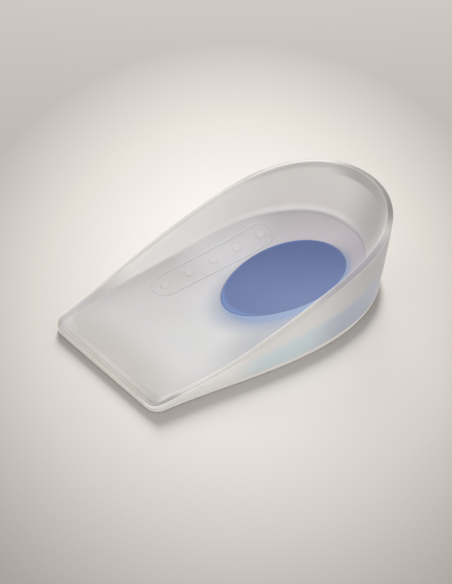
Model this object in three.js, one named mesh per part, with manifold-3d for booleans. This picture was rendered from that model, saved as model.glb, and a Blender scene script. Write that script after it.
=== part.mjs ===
// Heel cup: one soft silicone shell with a wedge sole, thin rising walls and an egg-shaped softer plug
// let into the seat of the heel. Millimetres, +Z up. The toe edge faces -Y and the heel +Y.

import * as THREE from 'three';
import { mergeVertices } from 'three/addons/utils/BufferGeometryUtils.js';
import Module from 'manifold-3d';

// Sole, as it stands on the ground
const SOLE_LENGTH = 105;
const TOE_WIDTH = 54.4;
const HEEL_WIDTH = 66.9;
const SOLE_ROUND_LENGTH = 48;
const SOLE_SWELL = 0.6;
const CORNER_RADIUS = 4;
const SOLE_EDGE_HEIGHT = 1.6;
const SOLE_EDGE_ROUND = 0.4;
const HEEL_TUCK = 1.6;
const SOLE_LEDGE = 0.25;

// Rim, the upper edge of the wall, measured from the sole's outline below it
const RIM_HEIGHT = 29.1;
const TOE_RIM_HEIGHT = 3.4;
const TOE_EDGE_HEIGHT = 2.4;
const RIM_OVERHANG = 3.5;
const RIM_LEAN_IN = 1.1;
const TOE_RIM_LEAN_OUT = 0.35;
const TOE_RIM_SETBACK = 0.35;
const RIM_ROUND_LENGTH = 52.3;
const RIM_SWELL = 1.85;
const RIM_BEVEL = 0.4;
const WALL_AT_TOE = 1.0;
const WALL_AT_HEEL = 2.15;
const WALL_SWELL = 0.5;

// Seat, the dished floor inside, measured from the same outline
const SEAT_INSET_TOE = 2.2;
const SEAT_INSET_SIDE = 6.4;
const SEAT_INSET_BACK = 5.5;
const SEAT_ROUND_LENGTH = 39.8;
const SEAT_SWELL = 2.2;
const SEAT_HEIGHT_TOE = 3.2;
const SEAT_HEIGHT_HEEL = 11.5;
const SEAT_FILLET = 1.1;
const TOE_TAPER = 3.6;
const FLOOR_AT_TOE = 2.8;
const FLOOR_AT_MIDDLE = 4.1;

// Plug, let into the seat and flush with it
const PLUG_LENGTH = 45.2;
const PLUG_BACK_MARGIN = 7.7;
const PLUG_NEAR_MARGIN = 7.7;
const PLUG_FAR_MARGIN = 14.4;
const PLUG_BED = 0.8;
const PLUG_GAP = 0.3;

// Raised capsule frame with plain pips, moulded on the seat beside the plug
const FRAME_LENGTH = 49;
const FRAME_WIDTH = 9.4;
const FRAME_LINE = 0.7;
const FRAME_RELIEF = 0.3;
const FRAME_ROOT = 0.6;
const FRAME_TO_PLUG = 0.7;
const FRAME_BACK_MARGIN = 17.2;
const PIP_COUNT = 5;
const PIP_WIDTH = 3.2;

// How round each heel is: the first exponent acts across the cup and the second along it
const SQUARENESS = {
  sole: { across: 2.19, along: 2.19 },
  rim: { across: 2.0, along: 3.25 },
  seat: { across: 2.23, along: 2.23 },
};
const DISH_POWER = 2.2;
const PLUG_EGG = 0.13;
const RIM_ROUND_SHARE = 0.32;
const HEEL_SPREAD = 1.5;

// Mesh steps
const STEPS = { toe: 12, corner: 5, side: 16, heel: 24 };
const PLUG_STEPS = 72;
const FRAME_END_STEPS = 10;
const FRAME_SIDE_STEPS = 14;
const PIP_STEPS = 12;

// The rim from toe to heel, as shares of its length, of its rise and of the wall's thickening
const RIM_ROWS = [
  { along: 0.0, rise: 0.0, thickening: 0.0 },
  { along: 0.2, rise: 0.141, thickening: 0.3 },
  { along: 0.4, rise: 0.363, thickening: 0.6 },
  { along: 0.6, rise: 0.595, thickening: 0.9 },
  { along: 0.8, rise: 0.799, thickening: 1.0 },
  { along: 0.92, rise: 0.915, thickening: 1.0 },
  { along: 1.0, rise: 1.0, thickening: 1.0 },
];

// The wall's section: over the sole's edge, up the outside, over the rim and down to the seat.
// A row lies a share of the way from one line to another, then inward and up by shares of a round.
const WALL_ROWS = [
  { from: 'sole', to: 'sole', share: 0, round: 'edge', inward: 1, up: 0, swell: 0 },
  { from: 'sole', to: 'sole', share: 0, round: 'edge', inward: 0.3, up: 0.3, swell: 0 },
  { from: 'sole', to: 'sole', share: 0, round: 'edge', inward: 0, up: 1, swell: 0 },
  { from: 'shoulder', to: 'shoulder', share: 0, round: 'ledge', inward: 0, up: 0, swell: 0 },
  { from: 'shoulder', to: 'shoulder', share: 0, round: 'ledge', inward: 1, up: 1, swell: 0 },
  { from: 'shoulder', to: 'rim', share: 0.3, round: 'ledge', inward: 0.7, up: 0.7, swell: 0.8 },
  { from: 'shoulder', to: 'rim', share: 0.65, round: 'ledge', inward: 0.35, up: 0.35, swell: 0.8 },
  { from: 'rim', to: 'rim', share: 0, round: 'rim', inward: 0, up: -1, swell: 0 },
  { from: 'rim', to: 'rim', share: 0, round: 'rim', inward: 0.3, up: -0.3, swell: 0 },
  { from: 'rim', to: 'rim', share: 0, round: 'rim', inward: 1, up: 0, swell: 0 },
  { from: 'lip', to: 'lip', share: 0, round: 'rim', inward: -1, up: 0, swell: 0 },
  { from: 'lip', to: 'lip', share: 0, round: 'rim', inward: -0.3, up: -0.3, swell: 0 },
  { from: 'lip', to: 'lip', share: 0, round: 'rim', inward: 0, up: -1, swell: 0 },
  { from: 'lip', to: 'seat', share: 0.35, round: 'fillet', inward: 0, up: 0, swell: 0.8 },
  { from: 'lip', to: 'seat', share: 0.7, round: 'fillet', inward: -0.15, up: 0.15, swell: 0.5 },
  { from: 'seat', to: 'lip', share: 0.1, round: 'fillet', inward: -0.25, up: 0.35, swell: 0 },
  { from: 'seat', to: 'seat', share: 0, round: 'fillet', inward: 0, up: 0, swell: 0 },
];

const wasm = await Module();
wasm.setup();

const lerp = THREE.MathUtils.lerp;
const clamp = THREE.MathUtils.clamp;

// Plan outlines of the sole, the rim and the seat, looking down
const soleBack = SOLE_LENGTH;
const rimBack = SOLE_LENGTH + RIM_OVERHANG;
const seatBack = SOLE_LENGTH - SEAT_INSET_BACK;
const OUTLINES = {
  sole: {
    front: 0,
    toe: TOE_WIDTH / 2,
    heel: HEEL_WIDTH / 2,
    turn: soleBack - SOLE_ROUND_LENGTH,
    back: soleBack,
    swell: SOLE_SWELL,
  },
  rim: {
    front: TOE_RIM_SETBACK,
    toe: TOE_WIDTH / 2 + TOE_RIM_LEAN_OUT,
    heel: HEEL_WIDTH / 2 - RIM_LEAN_IN,
    turn: rimBack - RIM_ROUND_LENGTH,
    back: rimBack,
    swell: RIM_SWELL,
  },
  seat: {
    front: TOE_TAPER,
    toe: TOE_WIDTH / 2 - SEAT_INSET_TOE,
    heel: HEEL_WIDTH / 2 - SEAT_INSET_SIDE,
    turn: seatBack - SEAT_ROUND_LENGTH,
    back: seatBack,
    swell: SEAT_SWELL,
  },
};
const TOP_Y = rimBack;

// Half-width of an outline's side at a share of the way from its toe to where its heel turns
function sideHalfWidth(outline, share) {
  const ease = share * share * (3 - 2 * share);
  const swell = outline.swell * 4 * share * (1 - share) * (1 - share);
  return lerp(outline.toe, outline.heel, ease) + swell;
}

// A point of an outline at one station of the half from the toe's middle to the heel's middle
function outlinePoint(name, station) {
  const outline = OUTLINES[name];
  const { toe, front, turn, heel, back } = outline;
  if (station.part === 'toe') {
    return new THREE.Vector2(station.share * (toe - CORNER_RADIUS), front);
  }
  if (station.part === 'corner') {
    const angle = (station.share * Math.PI) / 2;
    const x = toe - CORNER_RADIUS + CORNER_RADIUS * Math.sin(angle);
    return new THREE.Vector2(x, front + CORNER_RADIUS * (1 - Math.cos(angle)));
  }
  if (station.part === 'side') {
    const y = lerp(front + CORNER_RADIUS, turn, station.share);
    const start = sideHalfWidth(outline, CORNER_RADIUS / (turn - front));
    const blend = (1 - station.share) ** 3;
    const x = sideHalfWidth(outline, (y - front) / (turn - front)) - blend * (start - toe);
    return new THREE.Vector2(x, y);
  }
  const { across, along } = SQUARENESS[name];
  const angle = (station.share ** HEEL_SPREAD * Math.PI) / 2;
  const x = heel * Math.cos(angle) ** (2 / across);
  return new THREE.Vector2(x, lerp(turn, back, Math.sin(angle) ** (2 / along)));
}

// Stations of one half: along the toe edge, round its corner, along the side and round the heel
function halfStations() {
  const stations = [];
  const parts = [['toe', STEPS.toe / 2], ['corner', STEPS.corner], ['side', STEPS.side], ['heel', STEPS.heel]];
  for (const [part, count] of parts) {
    for (let k = 0; k < count; k += 1) stations.push({ part, share: k / count });
  }
  stations.push({ part: 'heel', share: 1 });
  return stations;
}

const HALF = halfStations();
const LAST = HALF.length - 1;
const RING_SIZE = 2 * LAST;

// Value of a table's column between its rows, on a smooth curve through them
function fromTable(rows, column, along) {
  let k = 0;
  while (k < rows.length - 2 && along > rows[k + 1].along) k += 1;
  const slope = (i) => {
    const a = rows[Math.max(i - 1, 0)];
    const b = rows[Math.min(i + 1, rows.length - 1)];
    return (b[column] - a[column]) / (b.along - a.along);
  };
  const [low, high] = [rows[k], rows[k + 1]];
  const span = high.along - low.along;
  const t = clamp((along - low.along) / span, 0, 1);
  const rise = t * t * (3 - 2 * t);
  const leave = t * (1 - t) * (1 - t) * span * slope(k);
  const arrive = t * t * (t - 1) * span * slope(k + 1);
  return lerp(low[column], high[column], rise) + leave + arrive;
}

// How far a station has left the toe edge and become side wall
function wallShare(station) {
  if (station.part === 'toe') return 0;
  return station.part === 'corner' ? Math.sin((station.share * Math.PI) / 2) ** 2 : 1;
}

function wallThickness(y) {
  const share = fromTable(RIM_ROWS, 'thickening', clamp(y / TOP_Y, 0, 1));
  return lerp(WALL_AT_TOE, WALL_AT_HEEL, share);
}

function rimHeight(station, y) {
  const rise = fromTable(RIM_ROWS, 'rise', clamp(y / TOP_Y, 0, 1));
  const wall = lerp(TOE_RIM_HEIGHT, RIM_HEIGHT - RIM_BEVEL, rise);
  return lerp(TOE_EDGE_HEIGHT, wall, wallShare(station));
}

// Height of the seat's floor: flat along the middle and dished up to the seat's outline
function floorHeight(x, y) {
  const { toe, heel, turn, back, front } = OUTLINES.seat;
  const along = clamp((y - front) / (turn - front), 0, 1);
  const halfWidth = y < turn ? Math.max(sideHalfWidth(OUTLINES.seat, along), toe) : heel;
  const beyond = Math.max((y - turn) / (back - turn), 0);
  const { across } = SQUARENESS.seat;
  const level = Math.min((Math.abs(x / halfWidth) ** across + beyond ** across) ** (1 / across), 1);
  const middle = lerp(FLOOR_AT_TOE, FLOOR_AT_MIDDLE, along);
  const edge = lerp(SEAT_HEIGHT_TOE, SEAT_HEIGHT_HEEL, y / back);
  return lerp(middle, edge, level ** DISH_POWER);
}

// A closed line round the cup, from points of one half and their mirror images
function mirrored(half) {
  const ring = half.map((p) => p.clone());
  for (let k = LAST - 1; k > 0; k -= 1) ring.push(new THREE.Vector3(-half[k].x, half[k].y, half[k].z));
  return ring;
}

// Outward directions across a closed line, seen from above
function outwardOf(ring) {
  return ring.map((_, k) => {
    const before = ring[(k + ring.length - 1) % ring.length];
    const after = ring[(k + 1) % ring.length];
    return new THREE.Vector3(after.y - before.y, before.x - after.x, 0).normalize();
  });
}

function planLine(name, height) {
  return mirrored(HALF.map((station) => {
    const p = outlinePoint(name, station);
    return new THREE.Vector3(p.x, p.y, height(station, p));
  }));
}

// The five lines that the wall's section runs between
function wallLines() {
  const sole = planLine('sole', () => 0);
  const shoulder = sole.map((p) => p.clone().setZ(SOLE_EDGE_HEIGHT));
  const rim = planLine('rim', (station, p) => rimHeight(station, p.y));
  const seat = planLine('seat', (station, p) => floorHeight(p.x, p.y));
  const rimOut = outwardOf(rim);
  const lip = rim.map((p, k) => {
    const inner = p.clone().addScaledVector(rimOut[k], -wallThickness(p.y));
    return inner.setZ(p.z + RIM_BEVEL * (p.z / RIM_HEIGHT));
  });
  return { sole, shoulder, rim, lip, seat };
}

// Rounds of the section at one point of the ring
function roundsAt(point) {
  const back = clamp((point.y - OUTLINES.sole.turn) / SOLE_ROUND_LENGTH, 0, 1);
  const high = clamp(point.z / RIM_HEIGHT, 0, 1);
  return {
    edge: SOLE_EDGE_ROUND + (HEEL_TUCK - SOLE_EDGE_ROUND) * back * back,
    ledge: SOLE_LEDGE,
    rim: RIM_ROUND_SHARE * wallThickness(point.y),
    fillet: SEAT_FILLET * Math.min(1, 4 * high),
  };
}

// The closed lines of the wall, one for each row of its section
function wallRings() {
  const lines = wallLines();
  const outward = outwardOf(lines.sole);
  const seatToRim = lines.rim.map((p) => clamp(p.z / RIM_HEIGHT, 0, 1));
  return WALL_ROWS.map((row) => lines[row.from].map((start, k) => {
    const point = start.clone().lerp(lines[row.to][k], row.share);
    const round = roundsAt(lines.rim[k])[row.round];
    point.addScaledVector(outward[k], WALL_SWELL * row.swell * seatToRim[k] - row.inward * round);
    point.z += row.up * round;
    return point;
  }));
}

// A mesh grown from closed lines
class Loft {
  constructor() {
    this.points = [];
    this.faces = [];
  }

  addPoint(point) {
    this.points.push(point.x, point.y, point.z);
    return this.points.length / 3 - 1;
  }

  addRing(ring) {
    return ring.map((point) => this.addPoint(point));
  }

  addQuad(a, b, c, d) {
    this.faces.push([a, b, c], [a, c, d]);
  }

  joinRings(lower, upper) {
    lower.forEach((a, k) => {
      const next = (k + 1) % lower.length;
      this.addQuad(a, lower[next], upper[next], upper[k]);
    });
  }

  // Fills a ring of the cup with rows that run straight across it, from the toe edge to the heel
  fillAcross(ids, ring, height, facesUp) {
    const firstSide = STEPS.toe / 2;
    const at = (k) => ids[(k + RING_SIZE) % RING_SIZE];
    let row = [];
    for (let k = -firstSide; k <= firstSide; k += 1) row.push(at(k));
    for (let k = firstSide + 1; k < LAST; k += 1) {
      const right = ring[k];
      const next = [at(-k)];
      for (let column = 1; column < STEPS.toe; column += 1) {
        const x = lerp(-right.x, right.x, column / STEPS.toe);
        next.push(this.addPoint(new THREE.Vector3(x, right.y, height(x, right.y))));
      }
      next.push(at(k));
      this.joinRows(row, next, facesUp);
      row = next;
    }
    this.joinRows(row, row.map(() => at(LAST)), facesUp);
  }

  joinRows(front, back, facesUp) {
    for (let k = 0; k < front.length - 1; k += 1) {
      const corners = [front[k], front[k + 1], back[k + 1], back[k]];
      if (!facesUp) corners.reverse();
      const [a, b, c, d] = corners;
      if (new Set([a, b, c]).size === 3) this.faces.push([a, b, c]);
      if (new Set([a, c, d]).size === 3) this.faces.push([a, c, d]);
    }
  }

  toManifold() {
    return new wasm.Manifold(new wasm.Mesh({
      numProp: 3,
      vertProperties: new Float32Array(this.points),
      triVerts: new Uint32Array(this.faces.flat()),
    }));
  }
}

// A solid between two closed lines that have as many points, with flat or gently curved ends
function solidBetween(lower, upper) {
  const loft = new Loft();
  const low = loft.addRing(lower);
  const high = loft.addRing(upper);
  loft.joinRings(low, high);
  const centre = (ring) => ring.reduce((sum, p) => sum.add(p), new THREE.Vector3()).divideScalar(ring.length);
  const bottom = loft.addPoint(centre(lower));
  const top = loft.addPoint(centre(upper));
  low.forEach((a, k) => loft.faces.push([low[(k + 1) % low.length], a, bottom]));
  high.forEach((a, k) => loft.faces.push([a, high[(k + 1) % high.length], top]));
  return loft.toManifold();
}

// The shell before anything is let into it or raised on it
function shellBlank() {
  const loft = new Loft();
  const rings = wallRings();
  const ids = rings.map((ring) => loft.addRing(ring));
  for (let k = 0; k < ids.length - 1; k += 1) loft.joinRings(ids[k], ids[k + 1]);
  loft.fillAcross(ids[0], rings[0], () => 0, false);
  loft.fillAcross(ids[ids.length - 1], rings[rings.length - 1], floorHeight, true);
  return loft.toManifold();
}

// Where the plug lies, from the seat's outline and the margins round it
const plugWidth = 2 * OUTLINES.seat.heel - PLUG_NEAR_MARGIN - PLUG_FAR_MARGIN;
const plugX = (PLUG_FAR_MARGIN - PLUG_NEAR_MARGIN) / 2;
const plugY = OUTLINES.seat.back - PLUG_BACK_MARGIN - PLUG_LENGTH / 2;

// Egg outline of the plug, fuller towards the heel, grown on all sides
function eggRing(grow, z) {
  const ring = [];
  for (let k = 0; k < PLUG_STEPS; k += 1) {
    const angle = (2 * Math.PI * k) / PLUG_STEPS;
    const x = (plugWidth / 2 + grow) * Math.cos(angle) * (1 + PLUG_EGG * Math.sin(angle));
    const y = (PLUG_LENGTH / 2 + grow) * Math.sin(angle);
    ring.push(new THREE.Vector3(plugX + x, plugY + y, z));
  }
  return ring;
}

// Outline of a capsule that lies along the cup
function capsuleRing(x, y, width, length, z) {
  const radius = width / 2;
  const straight = length / 2 - radius;
  const ring = [];
  const addSide = (sign) => {
    for (let k = 1; k < FRAME_SIDE_STEPS; k += 1) {
      const along = sign * lerp(-straight, straight, k / FRAME_SIDE_STEPS);
      ring.push(new THREE.Vector3(x + sign * radius, y + along, z));
    }
  };
  const addEnd = (sign) => {
    for (let k = 0; k <= FRAME_END_STEPS; k += 1) {
      const angle = (Math.PI * k) / FRAME_END_STEPS;
      const across = sign * radius * Math.cos(angle);
      ring.push(new THREE.Vector3(x + across, y + sign * (straight + radius * Math.sin(angle)), z));
    }
  };
  addSide(1);
  addEnd(1);
  addSide(-1);
  addEnd(-1);
  return ring;
}

const frameX = plugX - plugWidth / 2 - PLUG_GAP - FRAME_TO_PLUG - FRAME_WIDTH / 2;
const frameY = OUTLINES.seat.back - FRAME_BACK_MARGIN - FRAME_LENGTH / 2;

// Puts each point of a line at a height above the seat's floor
function onFloor(ring, height) {
  return ring.map((p) => p.clone().setZ(floorHeight(p.x, p.y) + height));
}

// The capsule's raised line, a narrow band that follows the floor
function frameLine() {
  const loft = new Loft();
  const outer = capsuleRing(frameX, frameY, FRAME_WIDTH, FRAME_LENGTH, 0);
  const inner = capsuleRing(frameX, frameY, FRAME_WIDTH - 2 * FRAME_LINE, FRAME_LENGTH - 2 * FRAME_LINE, 0);
  const rings = [
    onFloor(outer, -FRAME_ROOT),
    onFloor(outer, FRAME_RELIEF),
    onFloor(inner, FRAME_RELIEF),
    onFloor(inner, -FRAME_ROOT),
  ].map((ring) => loft.addRing(ring));
  rings.forEach((ring, k) => loft.joinRings(ring, rings[(k + 1) % rings.length]));
  return loft.toManifold();
}

// One round pip inside the capsule
function pip(y) {
  const circle = [];
  for (let k = 0; k < PIP_STEPS; k += 1) {
    const angle = (2 * Math.PI * k) / PIP_STEPS;
    const radius = PIP_WIDTH / 2;
    circle.push(new THREE.Vector3(frameX + radius * Math.cos(angle), y + radius * Math.sin(angle), 0));
  }
  return solidBetween(onFloor(circle, -FRAME_ROOT), onFloor(circle, FRAME_RELIEF));
}

function raisedMarks() {
  let marks = frameLine();
  const room = FRAME_LENGTH - FRAME_WIDTH;
  for (let k = 0; k < PIP_COUNT; k += 1) {
    marks = marks.add(pip(frameY + lerp(-room / 2, room / 2, k / (PIP_COUNT - 1))));
  }
  return marks;
}

// Solids: the shell with its pocket and relief, and the plug that fills the pocket up to the floor
const blank = shellBlank();
const above = RIM_HEIGHT;
const pocket = solidBetween(eggRing(PLUG_GAP, PLUG_BED), eggRing(PLUG_GAP, above));
const plugForm = solidBetween(eggRing(0, PLUG_BED + PLUG_GAP), eggRing(0, above));
const shellSolid = blank.add(raisedMarks()).subtract(pocket);
const plugSolid = blank.intersect(plugForm);

// Turns a solid back into a mesh of the scene
function meshOf(name, solid, material) {
  const { vertProperties, triVerts } = solid.getMesh();
  const geometry = new THREE.BufferGeometry();
  geometry.setAttribute('position', new THREE.BufferAttribute(vertProperties, 3));
  geometry.setIndex(new THREE.BufferAttribute(triVerts, 1));
  const merged = mergeVertices(geometry, 1e-4);
  merged.computeVertexNormals();
  const mesh = new THREE.Mesh(merged, material);
  mesh.name = name;
  return mesh;
}

const silicone = new THREE.MeshStandardMaterial({ color: 0xdad7d2, roughness: 0.42, metalness: 0 });
const softGel = new THREE.MeshStandardMaterial({ color: 0x6b7bab, roughness: 0.45, metalness: 0 });

const heelCup = new THREE.Group();
heelCup.add(meshOf('cup_shell', shellSolid, silicone));
heelCup.add(meshOf('heel_plug', plugSolid, softGel));
heelCup.position.y = -TOP_Y / 2;

export default heelCup;
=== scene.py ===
"""Heel cup: a milky silicone shell and a softer blue plug let into its seat, on a pale sweep."""

import logging
import math
from dataclasses import dataclass, field, replace
from enum import Enum

import bmesh
import bpy
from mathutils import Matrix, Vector

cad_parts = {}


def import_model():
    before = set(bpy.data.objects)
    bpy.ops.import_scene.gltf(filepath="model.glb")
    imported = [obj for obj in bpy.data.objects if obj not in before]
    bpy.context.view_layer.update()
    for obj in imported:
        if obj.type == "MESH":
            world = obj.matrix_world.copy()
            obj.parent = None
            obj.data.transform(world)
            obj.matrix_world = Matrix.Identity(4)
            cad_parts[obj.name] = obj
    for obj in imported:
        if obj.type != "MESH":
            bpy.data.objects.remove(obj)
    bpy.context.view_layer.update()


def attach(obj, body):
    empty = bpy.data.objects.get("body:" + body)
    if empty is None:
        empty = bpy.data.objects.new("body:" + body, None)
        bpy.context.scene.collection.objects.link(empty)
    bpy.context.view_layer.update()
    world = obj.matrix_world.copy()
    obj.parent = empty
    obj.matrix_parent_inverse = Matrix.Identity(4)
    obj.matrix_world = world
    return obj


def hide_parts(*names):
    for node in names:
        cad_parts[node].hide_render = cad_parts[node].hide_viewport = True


LOG = logging.getLogger("heel_cup")
MM = 0.001
UNDER_SOLE = 0.0
AT_PLUG = 1.0
SMOOTH_LEVELS = 1
Colour = tuple[float, float, float]
Stops = tuple[tuple[float, Colour], ...]


class Part(Enum):
    """Stretches of a line round the cup, from the middle of the toe to the middle of the heel."""

    TOE = "toe"
    CORNER = "corner"
    SIDE = "side"
    HEEL = "heel"


class Line(Enum):
    """Lines that the wall's section runs between."""

    SOLE = "sole"
    SHOULDER = "shoulder"
    RIM = "rim"
    LIP = "lip"
    SEAT = "seat"


class Round(Enum):
    """Rounds of the wall's section."""

    EDGE = "edge"
    LEDGE = "ledge"
    RIM = "rim"
    FILLET = "fillet"


class Zone(Enum):
    """Stretches of the wall's section that a tint keeps to: their lowest and highest place."""

    OUTSIDE = (0.02, 0.455)
    OUTER_WALL = (0.2, 0.45)
    LOWER_WALL = (0.2, 0.44)
    WHOLE_RIM = (0.44, 0.53)
    RIM_EDGE = (0.465, 0.485)
    RIM_SHOULDER = (0.465, 0.49)
    RIM_HALF = (0.465, 0.505)
    RIM_TOP = (0.48, 0.53)
    LIP = (0.505, 0.54)
    BELOW_LIP = (0.52, 0.56)
    INSIDE = (0.53, 0.79)
    INNER_WALL = (0.55, 0.79)
    INNER_FACE = (0.55, 0.78)
    FLOOR = (0.79, 2.0)
    SEAT = (0.8, 2.0)


class Socket(Enum):
    """Kinds of a node group's sockets."""

    VECTOR = "NodeSocketVector"
    NUMBER = "NodeSocketFloat"


class Lit(Enum):
    """What a lamp shines on."""

    ALL = "all"
    FLOOR = "floor"
    CUP = "cup"


def clamped(value: float) -> float:
    """The value kept between 0 and 1."""
    return min(max(value, 0.0), 1.0)


@dataclass(frozen=True)
class Station:
    """A place on a line round the cup: one of its stretches and a share of the way along it."""

    part: Part
    share: float


@dataclass(frozen=True)
class Outline:
    """Plan outline of a line round the cup, in millimetres from the toe edge."""

    front: float
    toe: float
    heel: float
    turn: float
    back: float
    swell: float
    across: float
    along: float
    corner: float = 4.0
    spread: float = 1.5

    def side_half_width(self, share: float) -> float:
        """Half-width of the side.

        Args:
            share: share of the way from the toe to where the heel turns.

        Returns:
            The half-width, in millimetres.
        """
        ease = share * share * (3 - 2 * share)
        swell = self.swell * 4 * share * (1 - share) ** 2
        return self.toe + (self.heel - self.toe) * ease + swell

    def point(self, station: Station) -> Vector:
        """Point of the outline at a station.

        Args:
            station: the place along the half from the toe's middle to the heel's middle.

        Returns:
            The point on the ground, in millimetres.
        """
        share = station.share
        if station.part is Part.TOE:
            return Vector((share * (self.toe - self.corner), self.front, 0))
        if station.part is Part.CORNER:
            angle = share * math.pi / 2
            x = self.toe - self.corner * (1 - math.sin(angle))
            return Vector((x, self.front + self.corner * (1 - math.cos(angle)), 0))
        length = self.turn - self.front
        if station.part is Part.SIDE:
            y = self.front + self.corner + (length - self.corner) * share
            start = self.side_half_width(self.corner / length) - self.toe
            x = self.side_half_width((y - self.front) / length) - start * (1 - share) ** 3
            return Vector((x, y, 0))
        angle = share**self.spread * math.pi / 2
        x = self.heel * max(math.cos(angle), 0.0) ** (2 / self.across)
        y = self.turn + (self.back - self.turn) * math.sin(angle) ** (2 / self.along)
        return Vector((x, y, 0))


@dataclass(frozen=True)
class WallRow:
    """One line of the wall's section: between two lines, then inward and up by shares of a round.

    The place is the share of the way over the section that the finish reads: 0 under the sole,
    0.2 at the shoulder, 0.5 on the rim, 0.8 at the crease and 1 at the plug.
    """

    start: Line
    end: Line
    share: float
    rounding: Round
    inward: float
    up: float
    swell: float
    place: float


@dataclass(frozen=True)
class Egg:
    """Egg outline of the plug, fuller towards the heel, in millimetres."""

    x: float = 3.35
    y: float = 69.2
    half_width: float = 16.0
    half_length: float = 22.6
    fullness: float = 0.13
    passes: int = 6

    def point(self, angle: float, grow: float) -> Vector:
        """Point of the outline at an angle, grown on all sides."""
        x = (self.half_width + grow) * math.cos(angle) * (1 + self.fullness * math.sin(angle))
        return Vector((self.x + x, self.y + (self.half_length + grow) * math.sin(angle), 0))

    def angle_towards(self, point: Vector) -> float:
        """Angle of the outline's point that lies in the direction of another point.

        Args:
            point: a point outside the egg.

        Returns:
            The angle to give to the outline, in radians.
        """
        across = (point.x - self.x) / self.half_width
        along = (point.y - self.y) / self.half_length
        angle = math.atan2(along, across)
        for _ in range(self.passes):
            angle = math.atan2(along * (1 + self.fullness * math.sin(angle)), across)
        return angle


WALL_ROWS = (
    WallRow(Line.SOLE, Line.SOLE, 0.0, Round.EDGE, 1.0, 0.0, 0.0, 0.04),
    WallRow(Line.SOLE, Line.SOLE, 0.0, Round.EDGE, 0.3, 0.3, 0.0, 0.08),
    WallRow(Line.SOLE, Line.SOLE, 0.0, Round.EDGE, 0.0, 1.0, 0.0, 0.12),
    WallRow(Line.SHOULDER, Line.SHOULDER, 0.0, Round.LEDGE, 0.0, 0.0, 0.0, 0.18),
    WallRow(Line.SHOULDER, Line.SHOULDER, 0.0, Round.LEDGE, 0.9, 0.9, 0.0, 0.2),
    WallRow(Line.SHOULDER, Line.RIM, 0.1, Round.LEDGE, 0.9, 0.9, 0.3, 0.22),
    WallRow(Line.SHOULDER, Line.RIM, 0.3, Round.LEDGE, 0.7, 0.7, 0.8, 0.28),
    WallRow(Line.SHOULDER, Line.RIM, 0.65, Round.LEDGE, 0.35, 0.35, 0.8, 0.38),
    WallRow(Line.SHOULDER, Line.RIM, 0.9, Round.LEDGE, 0.1, 0.1, 0.3, 0.44),
    WallRow(Line.SHOULDER, Line.RIM, 0.97, Round.RIM, 0.0, -1.0, 0.05, 0.46),
    WallRow(Line.RIM, Line.RIM, 0.0, Round.RIM, 0.0, -1.0, 0.0, 0.47),
    WallRow(Line.RIM, Line.RIM, 0.0, Round.RIM, 0.25, -0.25, 0.0, 0.485),
    WallRow(Line.RIM, Line.RIM, 0.0, Round.RIM, 1.0, 0.0, 0.0, 0.495),
    WallRow(Line.LIP, Line.LIP, 0.0, Round.RIM, -1.0, 0.0, 0.0, 0.505),
    WallRow(Line.LIP, Line.LIP, 0.0, Round.RIM, -0.25, -0.25, 0.0, 0.515),
    WallRow(Line.LIP, Line.LIP, 0.0, Round.RIM, 0.0, -1.0, 0.0, 0.53),
    WallRow(Line.LIP, Line.SEAT, 0.03, Round.RIM, 0.0, -1.0, 0.05, 0.54),
    WallRow(Line.LIP, Line.SEAT, 0.15, Round.FILLET, 0.0, 0.0, 0.4, 0.56),
    WallRow(Line.LIP, Line.SEAT, 0.35, Round.FILLET, 0.0, 0.0, 0.8, 0.62),
    WallRow(Line.LIP, Line.SEAT, 0.7, Round.FILLET, -0.15, 0.15, 0.5, 0.71),
    WallRow(Line.SEAT, Line.LIP, 0.12, Round.FILLET, -0.25, 0.35, 0.1, 0.77),
    WallRow(Line.SEAT, Line.LIP, 0.03, Round.FILLET, -0.12, 0.15, 0.0, 0.79),
    WallRow(Line.SEAT, Line.SEAT, 0.0, Round.FILLET, 0.0, 0.0, 0.0, 0.8),
)


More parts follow.
